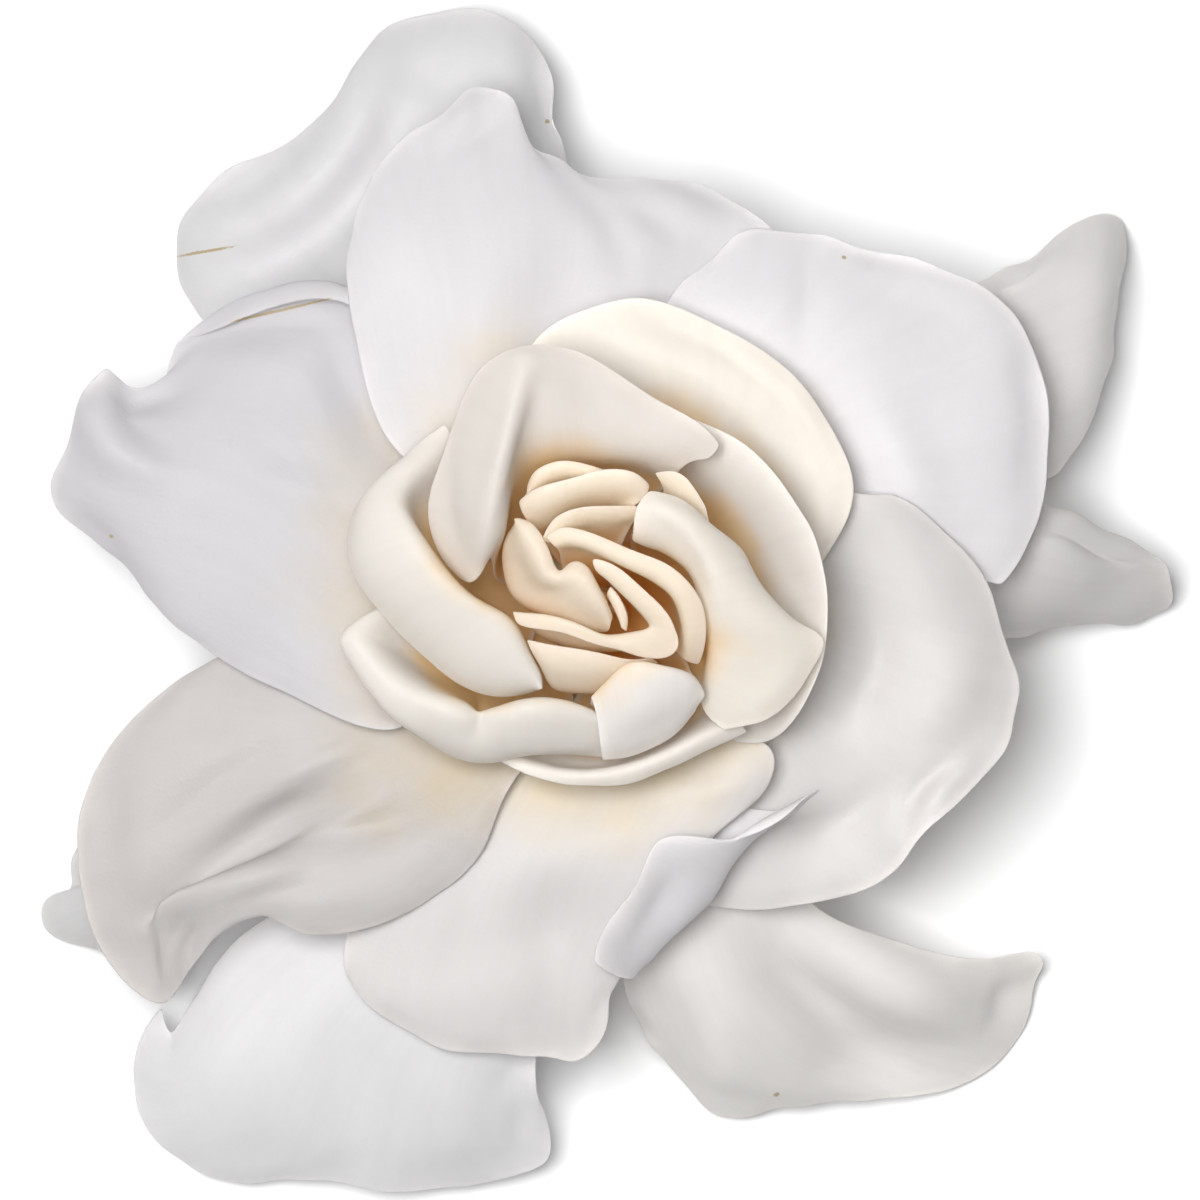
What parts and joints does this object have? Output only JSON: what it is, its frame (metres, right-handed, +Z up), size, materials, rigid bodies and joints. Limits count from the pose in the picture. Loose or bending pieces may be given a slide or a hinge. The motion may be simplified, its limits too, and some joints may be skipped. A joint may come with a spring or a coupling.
{
  "type": "gardenia flower",
  "caption": "Double gardenia flower cut just below its calyx and lying face up, with drooping outer petals and a wrapped heart.",
  "frame": {"origin": "middle of the footprint of the flower, on the surface it lies on", "axes": "+Z up, out of the open face of the flower; +Y towards the petal that reaches farthest at the back"},
  "size_m": [0.0948, 0.0992, 0.0365],
  "materials": {
    "outer_petals": "waxy white petal, slightly grey",
    "middle_petals": "waxy white petal",
    "inner_petals": "waxy white petal turning cream towards the foot",
    "heart_petals": "pale cream petal, peach yellow in the depth",
    "corolla_tube": "greenish white flesh",
    "calyx": "fresh green, slightly glossy",
    "pedicel": "green stalk, pale where cut"
  },
  "bodies": {
    "root": {"outer_petal_1": "outer_petals", "outer_petal_2": "outer_petals", "outer_petal_3": "outer_petals", "outer_petal_4": "outer_petals", "outer_petal_5": "outer_petals", "outer_petal_6": "outer_petals", "middle_petal_1": "middle_petals", "middle_petal_2": "middle_petals", "middle_petal_3": "middle_petals", "middle_petal_4": "middle_petals", "middle_petal_5": "middle_petals", "middle_petal_6": "middle_petals", "middle_petal_7": "middle_petals", "inner_petal_1": "inner_petals", "inner_petal_2": "inner_petals", "inner_petal_3": "inner_petals", "inner_petal_4": "inner_petals", "inner_petal_5": "inner_petals", "inner_petal_6": "inner_petals", "inner_petal_7": "inner_petals", "inner_petal_8": "inner_petals", "heart_petal_1": "heart_petals", "heart_petal_2": "heart_petals", "heart_petal_3": "heart_petals", "heart_petal_4": "heart_petals", "heart_petal_5": "heart_petals", "heart_petal_6": "heart_petals", "heart_petal_7": "heart_petals", "heart_petal_8": "heart_petals", "heart_petal_9": "heart_petals", "corolla_tube": "corolla_tube", "calyx": "calyx", "pedicel": "pedicel"}
  },
  "joints": []
}
